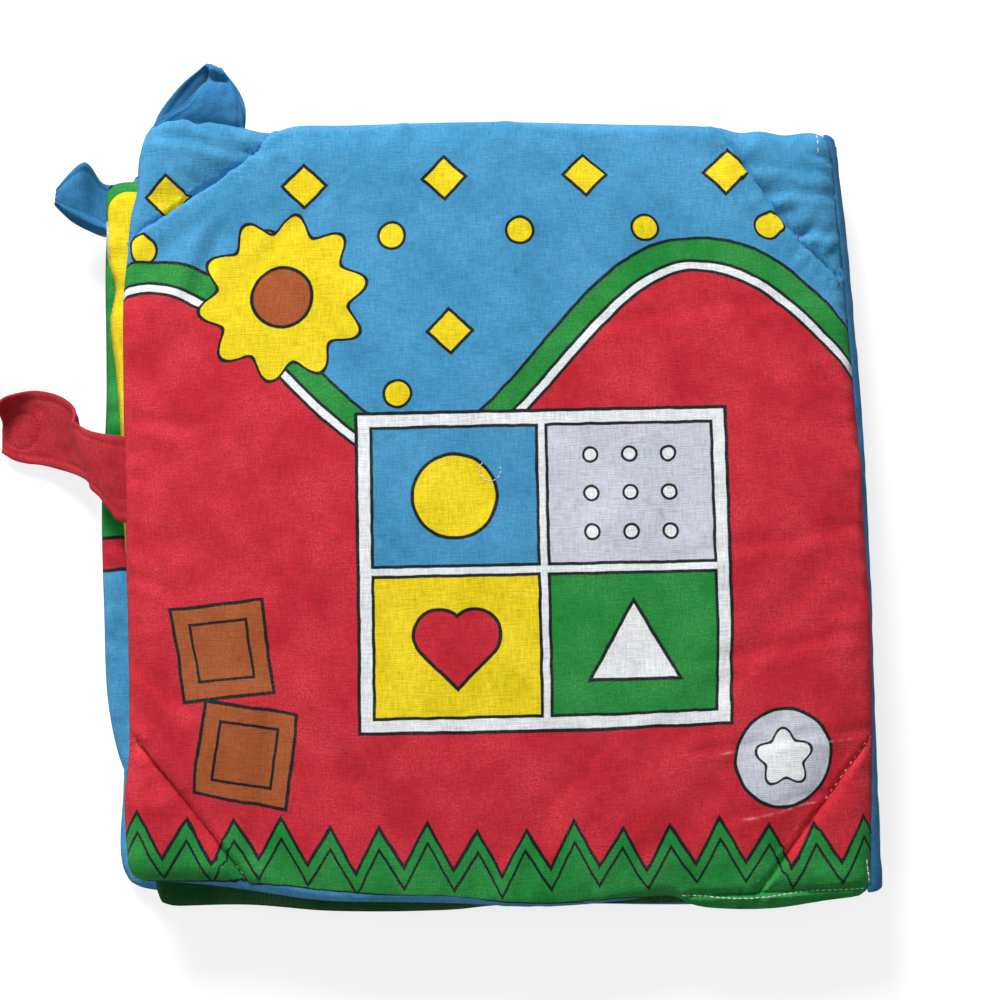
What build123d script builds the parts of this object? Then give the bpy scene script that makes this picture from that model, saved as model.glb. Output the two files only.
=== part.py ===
from build123d import *
from math import cos, radians, sin
import os

# A soft cloth book lying closed on its front cover, back cover up, spine at +X and top edge at +Y.
# The origin is the middle of the front cover's resting face. Sizes are in millimetres.

# Covers
cover_width = 231.0
cover_height = 244.0
cover_rim = 4.0
rim_roll = 1.6
back_crown = 3.4
front_puff = 3.0
corner_crown = 1.7
corner_radius = 6.0
seam_gap = 1.6
seam_setback = 40.0

# Inner leaves
leaf_count = 3
leaf_thickness = 4.7
leaf_gap = 0.3
leaf_roll = 2.1
leaf_corner_radius = 7.0
round_corner_radius = 30.0
layer_clearance = 0.3

# Spine margin and the cloth strip round it
margin_width = 18.0
margin_height = 12.4
wrap_thickness = 0.9
wrap_leg = 8.0
wrap_overhang = 6.0
wrap_length = 240.0
wrap_top_y = 114.0

# Cloth loops
loop_cloth = 1.0
loop_inside = 6.6
loop_tongue = 7.0
loop_neck = 1.2
edge_clearance = 1.0
top_loop_width = 28.0
top_loop_reach = 20.5
top_loop_inset = 26.5
side_loop_width = 21.0
side_loop_reach = 16.0
side_loop_inset = 17.5

# Closure strap and its fastening dots
strap_width = 25.0
strap_thickness = 1.4
strap_tongue = 8.0
strap_y = 10.8
strap_reach = 47.0
strap_drift = 20.5
strap_slope = 50.0
strap_floor_gap = 0.4
strap_lap = 0.5
pad_corner_radius = 4.0
dot_diameter = 15.0
dot_thickness = 1.3
dot_clearance = 0.3
dot_inset = 18.0

# Heights of the layers above the resting face
front_rim_base = front_puff
front_rim_middle = front_rim_base + cover_rim / 2
pages_base = front_rim_base + cover_rim + layer_clearance
leaf_pitch = leaf_thickness + leaf_gap
pages_top = pages_base + leaf_count * leaf_pitch - leaf_gap
back_base = pages_top + layer_clearance
back_rim_middle = back_base + cover_rim / 2

# The spine
spine_x = cover_width / 2
margin_middle = (pages_base + pages_top) / 2
wrap_outside = margin_height / 2 + wrap_thickness
wrap_centre_x = spine_x + wrap_overhang - wrap_outside
leaf_end_share = (wrap_centre_x - wrap_leg - edge_clearance) / cover_width

# Each outline runs counter-clockwise from the spine's lower corner, in shares of the cover's width and
# height, one row of points a side: spine, top edge, fore-edge and lower edge.
back_outline_shares = [
    [(0.497, -0.517), (0.505, -0.25), (0.510, 0.0), (0.506, 0.25), (0.498, 0.478)],
    [(0.498, 0.478), (0.33, 0.489), (0.10, 0.508), (-0.16, 0.514), (-0.30, 0.505), (-0.46, 0.516)],
    [(-0.46, 0.516), (-0.492, 0.36), (-0.502, 0.10), (-0.500, -0.20), (-0.508, -0.38), (-0.502, -0.472)],
    [(-0.502, -0.472), (-0.30, -0.480), (-0.05, -0.494), (0.15, -0.508), (0.33, -0.532), (0.497, -0.517)],
]
front_outline_shares = [
    [(0.497, -0.540), (0.505, -0.25), (0.508, 0.0), (0.505, 0.25), (0.498, 0.468)],
    [(0.498, 0.468), (0.25, 0.480), (-0.02, 0.488), (-0.27, 0.492), (-0.500, 0.498)],
    [(-0.500, 0.498), (-0.513, 0.25), (-0.519, 0.0), (-0.523, -0.25), (-0.524, -0.488)],
    [(-0.524, -0.488), (-0.27, -0.508), (0.0, -0.522), (0.25, -0.534), (0.497, -0.540)],
]
# The leaves from the front cover up. Each side is at a slight angle to the covers, as sewn by hand.
low_leaf_shares = [
    [(leaf_end_share, -0.520), (leaf_end_share, 0.470)],
    [(leaf_end_share, 0.470), (0.0, 0.485), (-0.505, 0.480)],
    [(-0.505, 0.480), (-0.512, 0.20), (-0.517, -0.15), (-0.514, -0.490)],
    [(-0.514, -0.490), (-0.10, -0.510), (leaf_end_share, -0.520)],
]
middle_leaf_shares = [
    [(leaf_end_share, -0.500), (leaf_end_share, 0.470)],
    [(leaf_end_share, 0.470), (0.0, 0.480), (-0.528, 0.470)],
    [(-0.528, 0.470), (-0.536, 0.30), (-0.543, 0.10), (-0.546, -0.10), (-0.540, -0.380)],
    [(-0.540, -0.380), (-0.20, -0.440), (leaf_end_share, -0.500)],
]
top_leaf_shares = [
    [(leaf_end_share, -0.530), (leaf_end_share, 0.440)],
    [(leaf_end_share, 0.440), (0.0, 0.450), (-0.530, 0.452)],
    [(-0.530, 0.452), (-0.518, 0.305), (-0.526, 0.262), (-0.512, 0.05), (-0.492, -0.25), (-0.468, -0.508)],
    [(-0.468, -0.508), (-0.30, -0.512), (-0.10, -0.529), (0.15, -0.534), (leaf_end_share, -0.530)],
]
# A sheet's rolled edge: each level is a share of the roll upwards and a share of it inwards.
roll_shares = [(0.0, 1.0), (0.134, 0.5), (0.5, 0.134), (1.0, 0.0)]
# How far each corner's quilting seam starts from the corner: along the side before it and the side after
# it, in shares of the setback.
setback_shares = [(0.80, 1.00), (1.28, 0.90), (0.99, 0.96), (1.12, 0.92)]
# A stuffed field draws in towards its crown: each level is a share of its rise and of its outline. The
# free crown is a flattened round, and the side that the book lies on is pressed flat.
crown_turns = [0, 10, 22, 36, 50, 64, 78]
crown_shares = [(sin(radians(turn)) ** 0.5, cos(radians(turn)) ** 0.5) for turn in crown_turns]
flat_shares = [(0.0, 1.0), (0.50, 0.988), (0.85, 0.970), (1.0, 0.940)]
# A loop's sections: their places across its width and their reach, in shares of its width and reach.
top_loop_shares = [(-0.5, 0.62), (-0.25, 0.84), (-0.05, 0.97), (0.1, 1.0), (0.3, 0.90), (0.5, 0.72)]
side_loop_shares = [(-0.5, 0.72), (-0.25, 0.88), (-0.05, 0.98), (0.15, 1.0), (0.35, 0.93), (0.5, 0.80)]
# The strap's stations: shares of its reach, drift and drop, and of its steepest slope.
strap_station_shares = [
    (0.0, 0.0, 0.0, 0.0),
    (0.11, 0.20, 0.04, 0.55),
    (0.25, 0.50, 0.30, 1.0),
    (0.40, 0.78, 0.71, 1.0),
    (0.53, 0.93, 0.94, 0.55),
    (0.64, 1.0, 1.0, 0.0),
]
pad_start_share = strap_station_shares[-1][0]
dot_share = 0.826


def at(share):
    """A point on a cover or leaf, given in shares of the cover's width and height."""
    return (share[0] * cover_width, share[1] * cover_height)


def drawn_in(points, share_x, share_y):
    """A polygon drawn in towards its own middle."""
    middle_x = sum(x for x, y in points) / len(points)
    middle_y = sum(y for x, y in points) / len(points)
    return [(middle_x + (x - middle_x) * share_x, middle_y + (y - middle_y) * share_y) for x, y in points]


def inset(points, gap):
    """A polygon whose far points lie a set distance further in."""
    width = max(x for x, y in points) - min(x for x, y in points)
    height = max(y for x, y in points) - min(y for x, y in points)
    return drawn_in(points, 1 - 2 * gap / width, 1 - 2 * gap / height)


def sew_sheet(sides, base, thickness, radii, roll):
    """Adds one padded sheet: a loft with round corners whose edges roll in towards its two faces."""
    points = [at(share) for side in sides for share in side[:-1]]
    corners = [sum(len(side) - 1 for side in sides[:index]) for index in range(len(sides))]
    rolled = [(roll * rise, roll * draw) for rise, draw in roll_shares]
    levels = []
    for rise, draw in rolled + [(thickness - rise, draw) for rise, draw in reversed(rolled)]:
        run = inset(points, draw)
        with BuildSketch(Plane.XY.offset(base + rise)) as level:
            with BuildLine():
                Polyline(run, close=True)
            make_face()
            for corner, radius in zip(corners, radii):
                place = Vector(*run[corner], base + rise)
                fillet(level.vertices().sort_by_distance(place)[0], radius=radius - draw)
        levels.append(level.sketch)
    loft(levels, ruled=True)


def stuff(points, base, rise, shares):
    """Adds one stuffed field of a cover: a loft from its sewn outline to its crown."""
    levels = []
    for rise_share, outline_share in shares:
        with BuildSketch(Plane.XY.offset(base + rise * rise_share)) as level:
            with BuildLine():
                Polyline(drawn_in(points, outline_share, outline_share), close=True)
            make_face()
        levels.append(level.sketch)
    loft(levels, ruled=True)


def step(start, goal, distance):
    """A point at a set distance from one corner towards another."""
    run = Vector(goal[0] - start[0], goal[1] - start[1])
    share = distance / run.length
    return (start[0] + run.X * share, start[1] + run.Y * share)


def stuff_cover(sides, base, rise, corner_rise, shares):
    """Adds a cover's middle field and its four corner fields, with a seam valley between them."""
    corners = [at(side[0]) for side in sides]
    middle = []
    for index, (before_share, after_share) in enumerate(setback_shares):
        corner = corners[index]
        seam_start = step(corner, corners[index - 1], before_share * seam_setback)
        seam_end = step(corner, corners[(index + 1) % len(corners)], after_share * seam_setback)
        middle += [seam_start, seam_end]
        stuff(inset([corner, seam_end, seam_start], rim_roll + seam_gap), base, corner_rise, shares)
    stuff(inset(middle, rim_roll), base, rise, shares)


def loop_rings(planes, shares, reach, grow):
    """The sections through a loop that stands open, on its inner face or grown to its outer one."""
    rings = []
    for plane, (place, reach_share) in zip(planes, shares):
        near = loop_cloth + loop_inside / 2
        far = reach * reach_share - near
        with BuildSketch(plane) as ring:
            with Locations(((near + far) / 2, 0)):
                SlotCenterToCenter(far - near, loop_inside + 2 * grow)
        rings.append(ring.sketch)
    return rings


# Tongues of the loops and of the strap, which are sewn into the edges that carry them
top_loop_x = top_loop_inset - cover_width / 2
top_loop_y = max(share[1] for share in back_outline_shares[1]) * cover_height + edge_clearance / 2
side_loop_x = middle_leaf_shares[2][1][0] * cover_width - edge_clearance / 2
side_loop_y = cover_height / 2 - side_loop_inset
side_loop_z = pages_base + leaf_pitch + leaf_thickness / 2
strap_x = back_outline_shares[2][2][0] * cover_width - edge_clearance

with BuildSketch(Plane.XY.offset(back_rim_middle)) as top_loop_root:
    with Locations((top_loop_x, top_loop_y + loop_neck)):
        Rectangle(top_loop_width, loop_tongue + loop_neck, align=(Align.CENTER, Align.MAX))

with BuildSketch(Plane.XY.offset(side_loop_z)) as side_loop_root:
    with Locations((side_loop_x - loop_neck, side_loop_y)):
        Rectangle(loop_tongue + loop_neck, side_loop_width, align=(Align.MIN, Align.CENTER))

with BuildSketch(Plane.XY.offset(back_rim_middle)) as strap_root:
    with Locations((strap_x - strap_lap, strap_y)):
        Rectangle(strap_tongue, strap_width, align=(Align.MIN, Align.CENTER))

# The back cover lies on the leaves, and the strap's and the top loop's tongues are sewn into its rim.
with BuildPart() as back_cover:
    back_radii = [corner_radius] * len(back_outline_shares)
    sew_sheet(back_outline_shares, back_base, cover_rim, back_radii, rim_roll)
    back_rise = back_crown + cover_rim / 2
    corner_rise = corner_crown + cover_rim / 2
    stuff_cover(back_outline_shares, back_rim_middle, back_rise, corner_rise, crown_shares)
    extrude(strap_root.sketch, amount=strap_thickness / 2, both=True, mode=Mode.SUBTRACT)
    extrude(top_loop_root.sketch, amount=loop_cloth, both=True, mode=Mode.SUBTRACT)
back_cover.part.label = "back_cover"

# The front cover is the same pad turned over, pressed flat on what the book rests on.
cover_dot_x = front_outline_shares[2][2][0] * cover_width + dot_inset
with BuildPart() as front_cover:
    front_radii = [corner_radius] * len(front_outline_shares)
    sew_sheet(front_outline_shares, front_rim_base, cover_rim, front_radii, rim_roll)
    fall = -front_puff - cover_rim / 2
    stuff_cover(front_outline_shares, front_rim_middle, fall, fall, flat_shares)
    with BuildSketch(Plane.XY) as dot_pocket:
        with Locations((cover_dot_x, strap_y)):
            Circle(dot_diameter / 2 + dot_clearance)
    extrude(amount=dot_thickness, mode=Mode.SUBTRACT)
front_cover.part.label = "front_cover"

with BuildPart() as cover_loop_dot:
    with BuildSketch(Plane.XY):
        with Locations((cover_dot_x, strap_y)):
            Circle(dot_diameter / 2)
    extrude(amount=dot_thickness)
cover_loop_dot.part.label = "cover_loop_dot"

# The leaves are sewn together along the spine margin, whose round edge fills the strip round it.
with BuildPart() as pages:
    small = leaf_corner_radius
    leaf_radii = [[small] * 4, [small, small, small, round_corner_radius], [small] * 4]
    leaf_sides = [low_leaf_shares, middle_leaf_shares, top_leaf_shares]
    for index in range(leaf_count):
        leaf_base = pages_base + index * leaf_pitch
        sew_sheet(leaf_sides[index], leaf_base, leaf_thickness, leaf_radii[index], leaf_roll)
    with BuildSketch(Plane.XZ.offset(-wrap_top_y)) as margin_section:
        with Locations((wrap_centre_x, margin_middle)):
            Circle(margin_height / 2)
            Rectangle(margin_width, margin_height, align=(Align.MAX, Align.CENTER))
    extrude(amount=wrap_length)
    extrude(side_loop_root.sketch, amount=loop_cloth, both=True, mode=Mode.SUBTRACT)
pages.part.label = "pages"

with BuildPart() as spine_wrap:
    with BuildSketch(Plane.XZ.offset(-wrap_top_y)):
        with Locations((wrap_centre_x, margin_middle)):
            Circle(wrap_outside)
            Rectangle(wrap_leg, 2 * wrap_outside, align=(Align.MAX, Align.CENTER))
            Circle(margin_height / 2, mode=Mode.SUBTRACT)
            Rectangle(wrap_leg, margin_height, align=(Align.MAX, Align.CENTER), mode=Mode.SUBTRACT)
    extrude(amount=wrap_length)
spine_wrap.part.label = "spine_wrap"

# Each loop is a strip of cloth folded on itself. It stands open and its ends are its tongue.
top_loop_planes = [
    Plane(
        origin=(top_loop_x + place * top_loop_width, top_loop_y, back_rim_middle),
        x_dir=(0, 1, 0),
        z_dir=(1, 0, 0),
    )
    for place, reach_share in top_loop_shares
]
with BuildPart() as top_loop:
    loft(loop_rings(top_loop_planes, top_loop_shares, top_loop_reach, loop_cloth), ruled=True)
    extrude(top_loop_root.sketch, amount=loop_cloth, both=True)
    loft(loop_rings(top_loop_planes, top_loop_shares, top_loop_reach, 0), ruled=True, mode=Mode.SUBTRACT)
top_loop.part.label = "top_loop"

side_loop_planes = [
    Plane(
        origin=(side_loop_x, side_loop_y + place * side_loop_width, side_loop_z),
        x_dir=(-1, 0, 0),
        z_dir=(0, 1, 0),
    )
    for place, reach_share in side_loop_shares
]
with BuildPart() as side_loop:
    loft(loop_rings(side_loop_planes, side_loop_shares, side_loop_reach, loop_cloth), ruled=True)
    extrude(side_loop_root.sketch, amount=loop_cloth, both=True)
    loft(loop_rings(side_loop_planes, side_loop_shares, side_loop_reach, 0), ruled=True, mode=Mode.SUBTRACT)
side_loop.part.label = "side_loop"

# The strap leaves the back cover level, falls past the leaves and ends flat near the floor.
pad_z = strap_floor_gap + dot_thickness + strap_thickness / 2
strap_drop = back_rim_middle - pad_z
strap_planes = []
for out_share, drift_share, drop_share, slope_share in strap_station_shares:
    station = (
        strap_x - out_share * strap_reach,
        strap_y + drift_share * strap_drift,
        back_rim_middle - drop_share * strap_drop,
    )
    heading = Vector(-1, 0, 0).rotate(Axis.Y, -slope_share * strap_slope)
    strap_planes.append(Plane(origin=station, x_dir=(0, 1, 0), z_dir=heading))

with BuildPart() as closure_strap:
    for plane in strap_planes:
        with BuildSketch(plane):
            Rectangle(strap_width, strap_thickness)
    loft()
    extrude(strap_root.sketch, amount=strap_thickness / 2, both=True)
    pad_length = strap_reach * (1 - pad_start_share)
    with BuildSketch(Plane.XY.offset(pad_z)) as pad_flat:
        with Locations((strap_x - strap_reach, strap_y + strap_drift)):
            Rectangle(pad_length, strap_width, align=(Align.MIN, Align.CENTER))
        fillet(pad_flat.vertices().group_by(Axis.X)[0], radius=pad_corner_radius)
    extrude(amount=strap_thickness / 2, both=True)
closure_strap.part.label = "closure_strap"

with BuildPart() as strap_hook_dot:
    with BuildSketch(Plane.XY.offset(strap_floor_gap)):
        with Locations((strap_x - dot_share * strap_reach, strap_y + strap_drift)):
            Circle(dot_diameter / 2)
    extrude(amount=dot_thickness)
strap_hook_dot.part.label = "strap_hook_dot"

os.makedirs("parts", exist_ok=True)
export_step(back_cover.part, "parts/back_cover.step")
export_step(front_cover.part, "parts/front_cover.step")
export_step(cover_loop_dot.part, "parts/cover_loop_dot.step")
export_step(pages.part, "parts/pages.step")
export_step(spine_wrap.part, "parts/spine_wrap.step")
export_step(top_loop.part, "parts/top_loop.step")
export_step(side_loop.part, "parts/side_loop.step")
export_step(closure_strap.part, "parts/closure_strap.step")
export_step(strap_hook_dot.part, "parts/strap_hook_dot.step")
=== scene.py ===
import math

import bmesh
import bpy
import numpy
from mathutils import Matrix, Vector, kdtree, noise


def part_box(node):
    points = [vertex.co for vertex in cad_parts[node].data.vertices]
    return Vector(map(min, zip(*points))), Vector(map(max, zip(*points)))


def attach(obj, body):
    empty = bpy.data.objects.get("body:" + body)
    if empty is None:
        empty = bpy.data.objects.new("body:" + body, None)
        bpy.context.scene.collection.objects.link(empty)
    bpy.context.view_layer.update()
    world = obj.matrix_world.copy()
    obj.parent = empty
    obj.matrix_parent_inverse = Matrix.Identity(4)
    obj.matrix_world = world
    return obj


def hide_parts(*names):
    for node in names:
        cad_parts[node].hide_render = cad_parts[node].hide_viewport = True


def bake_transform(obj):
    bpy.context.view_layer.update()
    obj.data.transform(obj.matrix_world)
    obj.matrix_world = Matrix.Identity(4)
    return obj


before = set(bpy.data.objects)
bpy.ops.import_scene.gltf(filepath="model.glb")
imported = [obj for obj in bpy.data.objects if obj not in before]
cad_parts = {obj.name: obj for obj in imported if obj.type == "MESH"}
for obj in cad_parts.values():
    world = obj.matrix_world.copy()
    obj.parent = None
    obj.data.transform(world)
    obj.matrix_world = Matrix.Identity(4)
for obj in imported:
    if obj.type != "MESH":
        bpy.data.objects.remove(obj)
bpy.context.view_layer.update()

# The view: a camera that looks almost straight down on the closed book, as the photograph does,
# from a little towards its lower edge.
MM = 0.001
view_turn = math.radians(-2.23)
view_data = bpy.data.cameras.new("view_camera")
view_data.lens = 50
view_data.sensor_width = 36
view_camera = bpy.data.objects.new("view_camera", view_data)
view_camera.location = (2.28 * MM, -38.95 * MM, 466.75 * MM)
view_camera.rotation_euler = (math.radians(5), 0, view_turn)
bpy.context.scene.collection.objects.link(view_camera)
bpy.context.scene.camera = view_camera


# The floor and the light: a white floor, one large soft lamp beyond the book's top edge, a weaker one
# from the left, and a white surround that the camera sees brighter than it shines.
class Ink:
    """A socket of a material. Sums on it add the nodes that work them out."""

    def __init__(self, tree, socket):
        self.tree = tree
        self.socket = socket

    def node(self, kind, inputs=(), settings=(), output=0):
        """Adds any node, with the values or links of its sockets, and its settings."""
        made = self.tree.nodes.new("ShaderNode" + kind)
        for name, value in dict(settings).items():
            setattr(made, name, value)
        for place, value in dict(inputs).items():
            if isinstance(value, Ink):
                self.tree.links.new(value.socket, made.inputs[place])
            else:
                made.inputs[place].default_value = value
        return Ink(self.tree, made.outputs[output])

    def feed(self, shader, name):
        self.tree.links.new(self.socket, shader.inputs[name])

    def maths(self, operation, *others, clamp=False):
        sockets = dict(enumerate((self,) + others))
        return self.node("Math", sockets, {"operation": operation, "use_clamp": clamp})

    def __add__(self, other):
        return self.maths("ADD", other)

    def __mul__(self, other):
        return self.maths("MULTIPLY", other)

    def __sub__(self, other):
        return self.maths("SUBTRACT", other)

    def __rsub__(self, other):
        return self.maths("MULTIPLY_ADD", -1.0, other)

    def least(self, other):
        return self.maths("MINIMUM", other)

    def most(self, other):
        return self.maths("MAXIMUM", other)

    def size(self):
        return self.maths("ABSOLUTE")

    def ramp(self, start, end):
        """0 at the start value, 1 at the end value, and even between them."""
        slope = 1 / (end - start)
        return self.maths("MULTIPLY_ADD", slope, -start * slope, clamp=True)

    def pick(self, ground, ink):
        """The ground colour where this is 0, the ink where it is 1, and a mixture between."""
        return self.node("Mix", {0: self, 6: ground, 7: ink}, {"data_type": "RGBA"}, output=2)


def colour(red, green, blue):
    """A colour as it is seen on a screen, 0 to 255, made linear."""
    shares = (red / 255, green / 255, blue / 255)
    linear = [((c + 0.055) / 1.055) ** 2.4 if c > 0.04 else c / 12.92 for c in shares]
    return (*linear, 1.0)


floor_mesh = bpy.data.meshes.new("floor")
floor_form = bmesh.new()
bmesh.ops.create_grid(floor_form, x_segments=1, y_segments=1, size=3.0)
floor_form.to_mesh(floor_mesh)
floor_form.free()
floor = bpy.data.objects.new("floor", floor_mesh)
bpy.context.scene.collection.objects.link(floor)

floor_paint = bpy.data.materials.new("white_floor")
floor_paint.use_nodes = True
floor_tree = floor_paint.node_tree
floor_tree.nodes.clear()
floor_end = floor_tree.nodes.new("ShaderNodeOutputMaterial")
floor_start = Ink(floor_tree, None)
floor_matt = floor_start.node("BsdfDiffuse", {"Color": (0.42, 0.42, 0.42, 1.0)})
floor_glow = floor_start.node("Emission", {"Color": (1.0, 1.0, 1.0, 1.0), "Strength": 0.74})
floor_seen = floor_start.node("LightPath", output="Is Camera Ray")
floor_mirrored = floor_start.node("LightPath", output="Is Glossy Ray")
floor_glows = floor_seen.most(floor_mirrored)
floor_glow_seen = floor_start.node("MixShader", {0: floor_glows, 2: floor_glow})
floor_whole = floor_start.node("AddShader", {0: floor_matt, 1: floor_glow_seen})
floor_whole.feed(floor_end, "Surface")
floor_mesh.materials.append(floor_paint)

surround = bpy.data.worlds.new("surround")
surround.use_nodes = True
surround_paint = surround.node_tree.nodes["Background"]
surround_paint.inputs["Color"].default_value = (1.0, 1.0, 1.0, 1.0)
surround_seen = Ink(surround.node_tree, None).node("LightPath", output="Is Camera Ray")
surround_light = 0.30
surround_shown = 0.96
surround_strength = surround_seen * (surround_shown - surround_light) + surround_light
surround_strength.feed(surround_paint, "Strength")
bpy.context.scene.world = surround
bpy.context.scene.view_settings.view_transform = "Standard"

for lamp_name, lamp_place, lamp_size, lamp_power in (
    ("top_lamp", (-0.30, 1.05, 0.70), 0.40, 21.0),
    ("left_lamp", (-1.0, -0.1, 0.9), 0.8, 2.5),
):
    lamp_data = bpy.data.lights.new(lamp_name, "AREA")
    lamp_data.size = lamp_size
    lamp_data.energy = lamp_power
    lamp = bpy.data.objects.new(lamp_name, lamp_data)
    lamp.location = lamp_place
    lamp.rotation_euler = (-lamp.location).to_track_quat("-Z", "Y").to_euler()
    bpy.context.scene.collection.objects.link(lamp)


# The back cover: two sheets of printed cotton sewn together round soft filling, with a quilting seam
# across each corner. The filling is simulated between the sewn lines, and then the seams are drawn in.
def smooth(points, index, t, run=None):
    """A place between two points of a smooth line. Without a run, all its runs count as equally long."""
    here, there = Vector(points[index]), Vector(points[index + 1])
    before = Vector(points[index - 1]) if index else here * 2 - there
    after = Vector(points[index + 2]) if index + 2 < len(points) else there * 2 - here
    leaving = (there - before).normalized() * run if run else (there - before) / 2
    arriving = (after - here).normalized() * run if run else (after - here) / 2
    return (
        here * (2 * t**3 - 3 * t**2 + 1)
        + leaving * (t**3 - 2 * t**2 + t)
        + there * (3 * t**2 - 2 * t**3)
        + arriving * (t**3 - t**2)
    )


def along(points, share):
    """The place at a share of the way along a side that runs smoothly through its points."""
    runs = [math.dist(a, b) for a, b in zip(points, points[1:])]
    way = share * sum(runs)
    index = 0
    while index < len(runs) - 1 and way > runs[index]:
        way -= runs[index]
        index += 1
    return smooth(points, index, way / runs[index], runs[index])


def rounded(u, v, corner_u, corner_v):
    """Moves a point of the unit square so that the square's corners turn round."""
    out_u = (abs(u - 0.5) - (0.5 - corner_u)) / corner_u
    out_v = (abs(v - 0.5) - (0.5 - corner_v)) / corner_v
    if out_u <= 0 or out_v <= 0:
        return u, v
    far_u = out_u * math.sqrt(1 - out_v**2 / 2)
    far_v = out_v * math.sqrt(1 - out_u**2 / 2)
    return (
        0.5 + math.copysign(0.5 - corner_u + far_u * corner_u, u - 0.5),
        0.5 + math.copysign(0.5 - corner_v + far_v * corner_v, v - 0.5),
    )


def cut_sheet(sides, corner, pitch):
    """A flat sheet, in mm, cut to its four sides: lower, spine side, top and fore-edge."""
    lower, spine, top, fore = sides
    width = math.dist(lower[0], lower[-1])
    height = math.dist(fore[0], fore[-1])
    form = bmesh.new()
    bmesh.ops.create_grid(form, x_segments=round(width / pitch), y_segments=round(height / pitch), size=0.5)
    for vert in form.verts:
        u, v = rounded(vert.co.x + 0.5, vert.co.y + 0.5, corner / width, corner / height)
        across = along(lower, u) * (1 - v) + along(top, u) * v
        upwards = along(fore, v) * (1 - u) + along(spine, v) * u
        ends_low = Vector(lower[0]) * (1 - u) + Vector(lower[-1]) * u
        ends_high = Vector(top[0]) * (1 - u) + Vector(top[-1]) * u
        place = across + upwards - (ends_low * (1 - v) + ends_high * v)
        vert.co = (place.x, place.y, 0)
    return form


def beside(seam, place):
    """How far a place is from a seam's line, and its share of the way along it."""
    start, end = Vector(seam[0]), Vector(seam[1])
    way = end - start
    out = Vector((place[0], place[1])) - start
    return (way.x * out.y - way.y * out.x) / way.length, out.dot(way) / way.length_squared


def right_of(seam):
    """The direction to the right of a seam."""
    start, end = Vector(seam[0]), Vector(seam[1])
    return Vector((end.y - start.y, start.x - end.x)).normalized()


def cut_along(form, seam, step, reach, overrun, unit):
    """Cuts a line into the cloth, a step to the left of a seam, through the faces within its reach."""
    right = right_of(seam)
    near = set()
    for face in form.faces:
        off, share = beside(seam, face.calc_center_median() / unit)
        if abs(off) < reach and -overrun < share < 1 + overrun:
            near.update((face, *face.verts, *face.edges))
    bmesh.ops.bisect_plane(
        form,
        geom=list(near),
        dist=0.02 * unit,
        plane_co=((Vector(seam[0]) - right * step) * unit).to_3d(),
        plane_no=right.to_3d(),
    )


def window(value, start, end, soft):
    """1 between the start and the end, fading to 0 outside them."""
    inside = min(value - start, end - value) / soft + 1
    share = min(max(inside, 0.0), 1.0)
    return share * share * (3 - 2 * share)


def to_piece(name, form):
    """Makes a form a smooth object in the scene."""
    mesh = bpy.data.meshes.new(name)
    form.to_mesh(mesh)
    form.free()
    for face in mesh.polygons:
        face.use_smooth = True
    piece = bpy.data.objects.new(name, mesh)
    bpy.context.scene.collection.objects.link(piece)
    return piece


def sew_pad(name, sides, seams, middle, corner, pitch):
    """Two sheets sewn together round their edge and along their seams, before they are filled. The layer
    sewn is 2 on the edge and 1 on a seam, and the layer cloth holds each point's place on the flat cloth."""
    form = cut_sheet(sides, corner, pitch)
    for seam in seams:
        right = right_of(seam)
        for vert in form.verts:
            off, share = beside(seam, vert.co)
            if abs(off) < 0.3 * pitch and -0.01 < share < 1.01 and not vert.is_boundary:
                vert.co.x += right.x * off
                vert.co.y += right.y * off
        cut_along(form, seam, step=0.0, reach=2 * pitch, overrun=0.08, unit=1.0)
    cloth = form.verts.layers.float_vector.new("cloth")
    sewn = form.verts.layers.float.new("sewn")
    crease = form.edges.layers.float.new("crease_edge")
    seam_crease = 1.0
    edge_crease = 0.6
    for vert in form.verts:
        off_seams = [off for off, share in (beside(seam, vert.co) for seam in seams) if -0.02 < share < 1.02]
        on_seam = any(abs(off) < 0.05 for off in off_seams)
        vert[sewn] = 2.0 if vert.is_boundary else (1.0 if on_seam else 0.0)
        vert[cloth] = (vert.co.x, vert.co.y, 0.0)
    for edge in form.edges:
        held = min(vert[sewn] for vert in edge.verts)
        edge[crease] = edge_crease if edge.is_boundary else (seam_crease if held else 0.0)
    under = bmesh.ops.duplicate(form, geom=form.verts[:] + form.edges[:] + form.faces[:])["geom"]
    under_faces = [part for part in under if isinstance(part, bmesh.types.BMFace)]
    under_verts = {part for part in under if isinstance(part, bmesh.types.BMVert)}
    bmesh.ops.reverse_faces(form, faces=under_faces)
    seam_gap = 0.15
    open_gap = 1.2
    for vert in form.verts:
        if vert[sewn] < 2.0:
            side = -1 if vert in under_verts else 1
            vert.co.z = side * (seam_gap if vert[sewn] else open_gap)
            vert[cloth] = (vert[cloth].x, vert[cloth].y, side)
    bmesh.ops.remove_doubles(form, verts=[v for v in form.verts if v.is_boundary], dist=0.001)
    for vert in form.verts:
        vert.co = Vector((vert.co.x, vert.co.y, vert.co.z + middle)) * MM
    return to_piece(name, form)


def settle(piece):
    """Applies a piece's modifiers to its mesh."""
    settled = bpy.data.meshes.new_from_object(piece.evaluated_get(bpy.context.evaluated_depsgraph_get()))
    piece.modifiers.clear()
    old = piece.data
    piece.data = settled
    settled.name = piece.name
    bpy.data.meshes.remove(old)


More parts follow.
